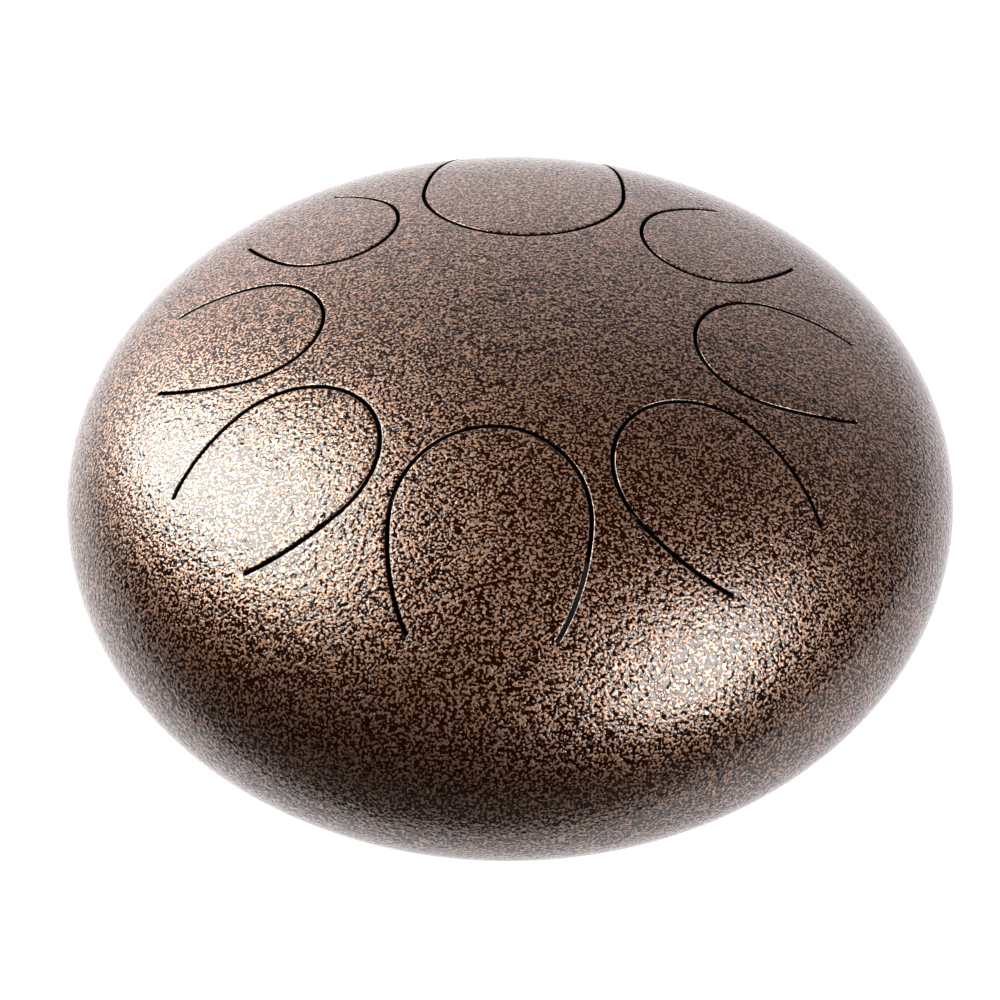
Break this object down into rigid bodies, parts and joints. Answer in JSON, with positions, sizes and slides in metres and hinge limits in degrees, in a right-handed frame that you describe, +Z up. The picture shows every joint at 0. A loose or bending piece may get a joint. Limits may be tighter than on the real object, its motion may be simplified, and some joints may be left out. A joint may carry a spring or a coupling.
{
  "type": "steel tongue drum",
  "caption": "Lens-shaped steel tongue drum: two domed shells welded at the rim, horseshoe tongues cut in the top, a sound port below and screwed rubber feet.",
  "frame": {"origin": "on the surface the drum stands on, under the centre of the drum, at the bottom of the rubber feet", "axes": "+Z up along the drum's axis; -Y points from the axis towards tongue_1, and +Y towards tongue_5, the largest tongue"},
  "size_m": [0.33, 0.33, 0.163],
  "materials": {
    "vein_coat": "copper and black vein powder coat, hammered, semi-gloss",
    "foot_rubber": "matt black moulded rubber",
    "zinc_steel": "bright zinc plate"
  },
  "bodies": {
    "drum_body": {"upper_shell": "vein_coat", "weld_seam": "vein_coat", "lower_shell": "vein_coat", "rubber_foot_1": "foot_rubber", "foot_screw_1": "zinc_steel", "foot_washer_1": "zinc_steel", "foot_nut_1": "zinc_steel", "rubber_foot_2": "foot_rubber", "foot_screw_2": "zinc_steel", "foot_washer_2": "zinc_steel", "foot_nut_2": "zinc_steel", "rubber_foot_3": "foot_rubber", "foot_screw_3": "zinc_steel", "foot_washer_3": "zinc_steel", "foot_nut_3": "zinc_steel", "rubber_foot_4": "foot_rubber", "foot_screw_4": "zinc_steel", "foot_washer_4": "zinc_steel", "foot_nut_4": "zinc_steel"},
    "tongue_1": {"tongue_1": "vein_coat"},
    "tongue_2": {"tongue_2": "vein_coat"},
    "tongue_3": {"tongue_3": "vein_coat"},
    "tongue_4": {"tongue_4": "vein_coat"},
    "tongue_5": {"tongue_5": "vein_coat"},
    "tongue_6": {"tongue_6": "vein_coat"},
    "tongue_7": {"tongue_7": "vein_coat"},
    "tongue_8": {"tongue_8": "vein_coat"}
  },
  "joints": [
    {"name": "tongue_1_flex", "type": "hinge", "parent": "drum_body", "child": "tongue_1", "pos_m": [0, -0.12577, 0.13671], "axis": [1, 0, 0], "range_deg": [-0.8, 0.8], "stiffness_Nm_per_rad": 16.2},
    {"name": "tongue_2_flex", "type": "hinge", "parent": "drum_body", "child": "tongue_2", "pos_m": [-0.09482, -0.08538, 0.13569], "axis": [0.6691, -0.7431, 0], "range_deg": [-0.8, 0.8], "stiffness_Nm_per_rad": 10.2},
    {"name": "tongue_3_flex", "type": "hinge", "parent": "drum_body", "child": "tongue_3", "pos_m": [-0.12318, 0.00064, 0.13808], "axis": [-0.0052, -1, 0], "range_deg": [-0.8, 0.8], "stiffness_Nm_per_rad": 6},
    {"name": "tongue_4_flex", "type": "hinge", "parent": "drum_body", "child": "tongue_4", "pos_m": [-0.08825, 0.07537, 0.14151], "axis": [-0.6494, -0.7604, 0], "range_deg": [-0.8, 0.8], "stiffness_Nm_per_rad": 3.3},
    {"name": "tongue_5_flex", "type": "hinge", "parent": "drum_body", "child": "tongue_5", "pos_m": [0, 0.13308, 0.13242], "axis": [-1, 0, 0], "range_deg": [-0.8, 0.8], "stiffness_Nm_per_rad": 27.9},
    {"name": "tongue_6_flex", "type": "hinge", "parent": "drum_body", "child": "tongue_6", "pos_m": [0.08825, 0.07537, 0.14151], "axis": [-0.6494, 0.7604, 0], "range_deg": [-0.8, 0.8], "stiffness_Nm_per_rad": 3.3},
    {"name": "tongue_7_flex", "type": "hinge", "parent": "drum_body", "child": "tongue_7", "pos_m": [0.12318, 0.00064, 0.13808], "axis": [-0.0052, 1, 0], "range_deg": [-0.8, 0.8], "stiffness_Nm_per_rad": 6},
    {"name": "tongue_8_flex", "type": "hinge", "parent": "drum_body", "child": "tongue_8", "pos_m": [0.09482, -0.08538, 0.13569], "axis": [0.6691, 0.7431, 0], "range_deg": [-0.8, 0.8], "stiffness_Nm_per_rad": 10.2}
  ]
}
